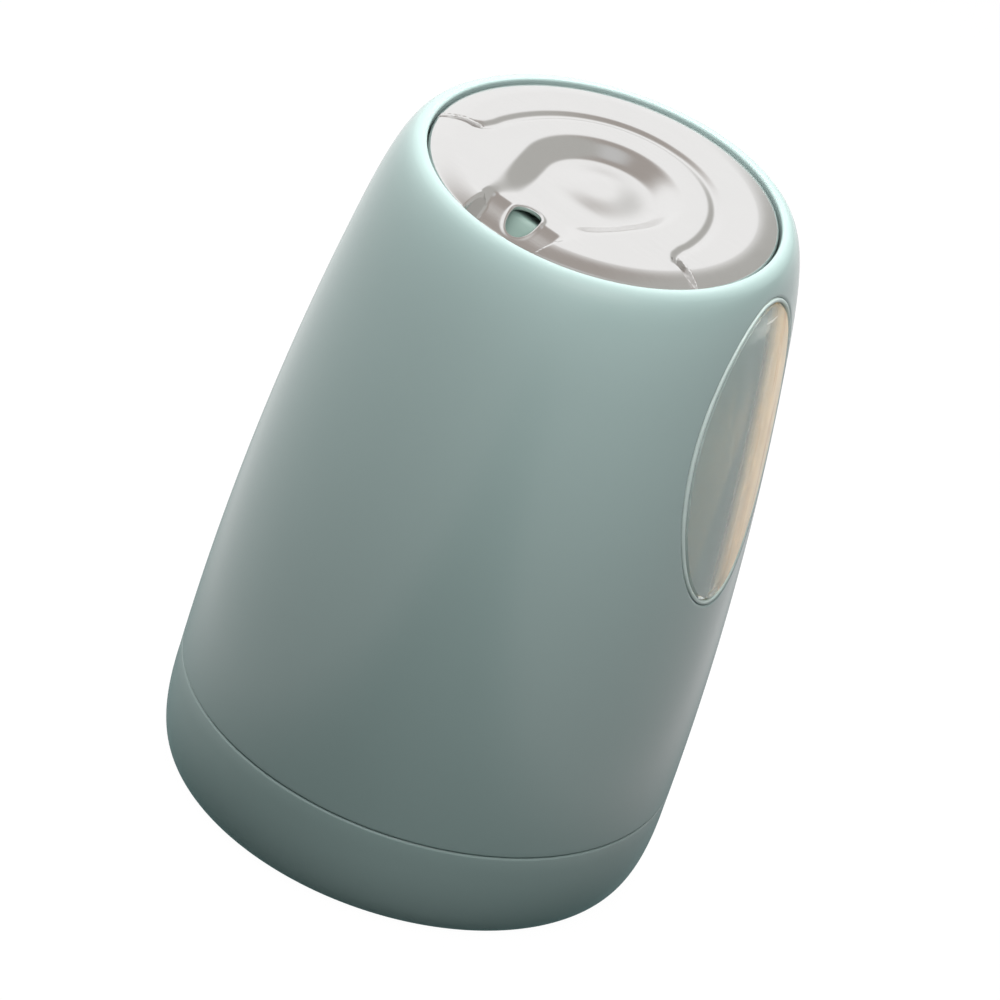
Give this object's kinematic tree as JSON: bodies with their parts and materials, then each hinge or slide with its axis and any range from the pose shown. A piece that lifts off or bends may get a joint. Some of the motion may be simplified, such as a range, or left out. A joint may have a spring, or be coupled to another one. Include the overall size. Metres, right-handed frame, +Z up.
{
  "type": "toothpick dispenser",
  "caption": "Rounded canister with a turning pressed-metal lid over a fixed port, an oval clear side window and a base that pulls off for refilling.",
  "frame": {"origin": "centre of the footprint, on the table under the foot ring", "axes": "+Z up along the canister's centre line; -Y towards the front, where the lid's hole stands when it is shut; +X towards the side of the oval window, which looks 8 degrees back from +X"},
  "size_m": [0.071, 0.071, 0.1029],
  "materials": {
    "body_plastic": "soft gloss grey-green moulded plastic",
    "clear_pane": "clear moulded acrylic, polished",
    "pale_gasket": "pale matte elastomer",
    "lid_metal": "satin pressed sheet",
    "inner_plastic": "white moulded plastic",
    "bearing_plastic": "natural slippery plastic",
    "seal_rubber": "translucent silicone",
    "foot_rubber": "dark matte silicone",
    "steel": "bright zinc-plated",
    "pick_wood": "bare polished birch"
  },
  "bodies": {
    "base": {"base_cap": "body_plastic", "base_insert": "inner_plastic", "base_seal": "seal_rubber", "foot_ring": "foot_rubber", "insert_screw_1": "steel", "insert_screw_2": "steel", "insert_screw_3": "steel", "toothpick_01": "pick_wood", "toothpick_02": "pick_wood", "toothpick_03": "pick_wood", "toothpick_04": "pick_wood", "toothpick_05": "pick_wood", "toothpick_06": "pick_wood", "toothpick_07": "pick_wood", "toothpick_08": "pick_wood", "toothpick_09": "pick_wood", "toothpick_10": "pick_wood", "toothpick_11": "pick_wood", "toothpick_12": "pick_wood", "toothpick_13": "pick_wood", "toothpick_14": "pick_wood", "toothpick_15": "pick_wood", "toothpick_16": "pick_wood", "toothpick_17": "pick_wood", "toothpick_18": "pick_wood", "toothpick_19": "pick_wood", "toothpick_20": "pick_wood", "toothpick_21": "pick_wood", "toothpick_22": "pick_wood", "toothpick_23": "pick_wood", "toothpick_24": "pick_wood", "toothpick_25": "pick_wood", "toothpick_26": "pick_wood", "toothpick_27": "pick_wood", "toothpick_28": "pick_wood", "toothpick_29": "pick_wood", "toothpick_30": "pick_wood"},
    "housing": {"body_shell": "body_plastic", "side_window": "clear_pane", "window_gasket": "pale_gasket", "top_deck": "body_plastic", "deck_retainer": "inner_plastic", "deck_bush": "bearing_plastic", "pick_guide": "inner_plastic"},
    "lid": {"lid_plate": "lid_metal", "lid_hub": "inner_plastic", "rim_glide": "bearing_plastic", "glide_washer": "bearing_plastic", "wave_washer": "steel", "stop_plate": "steel", "pivot_screw": "steel"}
  },
  "joints": [
    {"name": "body_lift", "type": "slide", "parent": "base", "child": "housing", "axis": [0, 0, 1], "range_m": [0, 0.05]},
    {"name": "lid_turn", "type": "hinge", "parent": "housing", "child": "lid", "pos_m": [0, 0, 0.1025], "axis": [0, 0, 1], "range_deg": [0, 60]}
  ]
}
